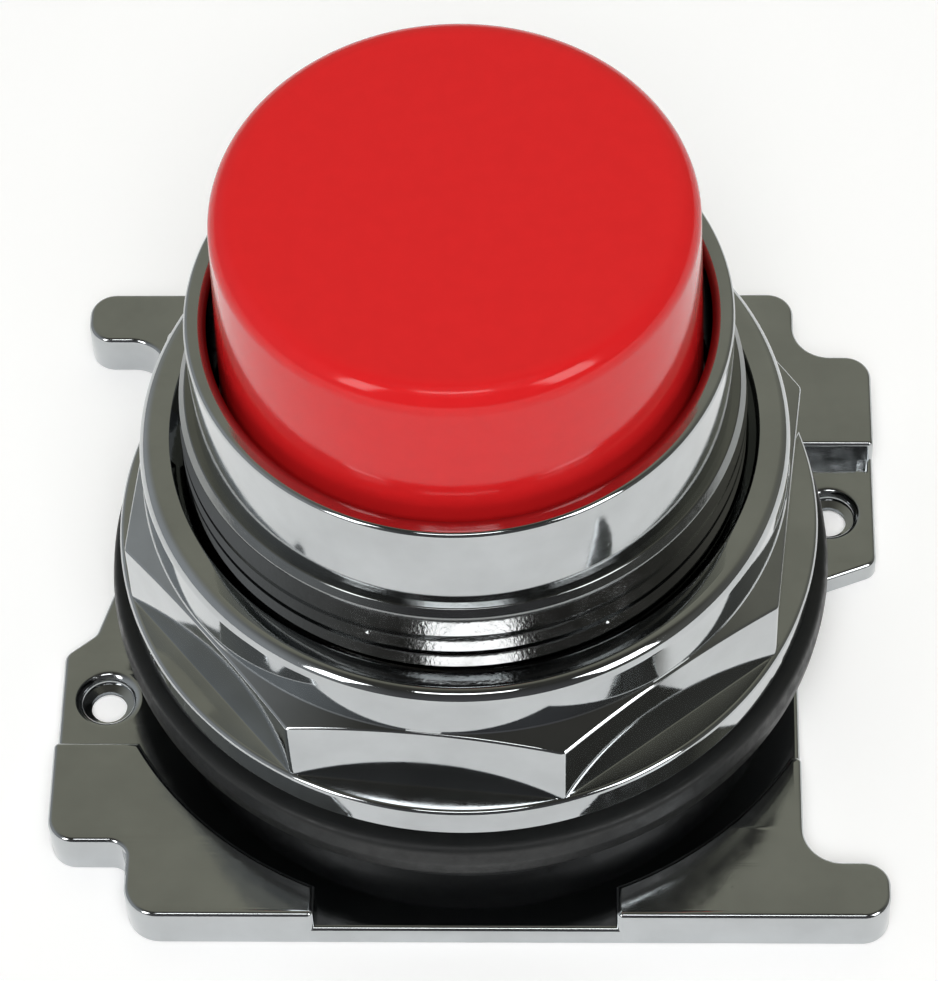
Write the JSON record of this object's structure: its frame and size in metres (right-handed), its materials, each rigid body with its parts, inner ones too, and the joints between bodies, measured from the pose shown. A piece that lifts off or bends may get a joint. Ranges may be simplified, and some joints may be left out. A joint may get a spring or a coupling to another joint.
{
  "type": "industrial push button operator",
  "caption": "Panel push-button operator: red extended cap, chrome threaded bushing on a notched base plate, octagonal mounting nut and rubber panel gasket.",
  "frame": {"origin": "on the bushing axis, at the rear face of the base plate", "axes": "+Z along the bushing axis, out of the panel through the button; -Y is the front edge of the plate, +X to the right seen from the front"},
  "size_m": [0.0456, 0.042, 0.0377],
  "materials": {
    "bright_chrome": "bright decorative chrome plate on a zinc die casting",
    "red_plastic": "glossy moulded red plastic",
    "gasket_rubber": "satin charcoal rubber",
    "boot_rubber": "matt black nitrile rubber",
    "black_plastic": "fine-textured black moulding",
    "white_acetal": "natural acetal",
    "plated_steel": "zinc-plated steel",
    "spring_steel": "oiled spring steel",
    "aluminium_ring": "turned aluminium"
  },
  "bodies": {
    "housing": {"base_housing": "bright_chrome", "spacer_ring_lower": "black_plastic", "spacer_ring_upper": "black_plastic", "panel_gasket": "gasket_rubber", "diaphragm_clamp_ring": "aluminium_ring", "seal_diaphragm": "boot_rubber", "return_spring": "spring_steel", "guide_bush": "black_plastic", "bush_retaining_ring": "spring_steel", "bump_washer": "gasket_rubber"},
    "button": {"button_cap": "red_plastic", "plunger": "white_acetal", "cap_screw": "plated_steel", "cap_lock_washer": "plated_steel", "diaphragm_collar": "aluminium_ring", "spring_seat": "plated_steel", "plunger_stop_clip": "spring_steel", "actuator_pad": "white_acetal"},
    "washer": {"thrust_washer": "plated_steel"},
    "nut": {"mounting_nut": "bright_chrome"}
  },
  "joints": [
    {"name": "button_press", "type": "slide", "parent": "housing", "child": "button", "axis": [0, 0, -1], "range_m": [0, 0.0055], "stiffness_N_per_m": 700, "springref_m": -0.008, "deforming": ["return_spring", "seal_diaphragm"]},
    {"name": "washer_slide", "type": "slide", "parent": "housing", "child": "washer", "axis": [0, 0, 1], "range_m": [0, 0.00423]},
    {"name": "nut_turn", "type": "hinge", "parent": "washer", "child": "nut", "pos_m": [0, 0, 0], "axis": [0, 0, 1], "range_deg": [0, 1080]}
  ],
  "couplings": [
    {"joint": "nut_turn", "follows": "washer_slide", "rad_per_m": 4452.7}
  ]
}
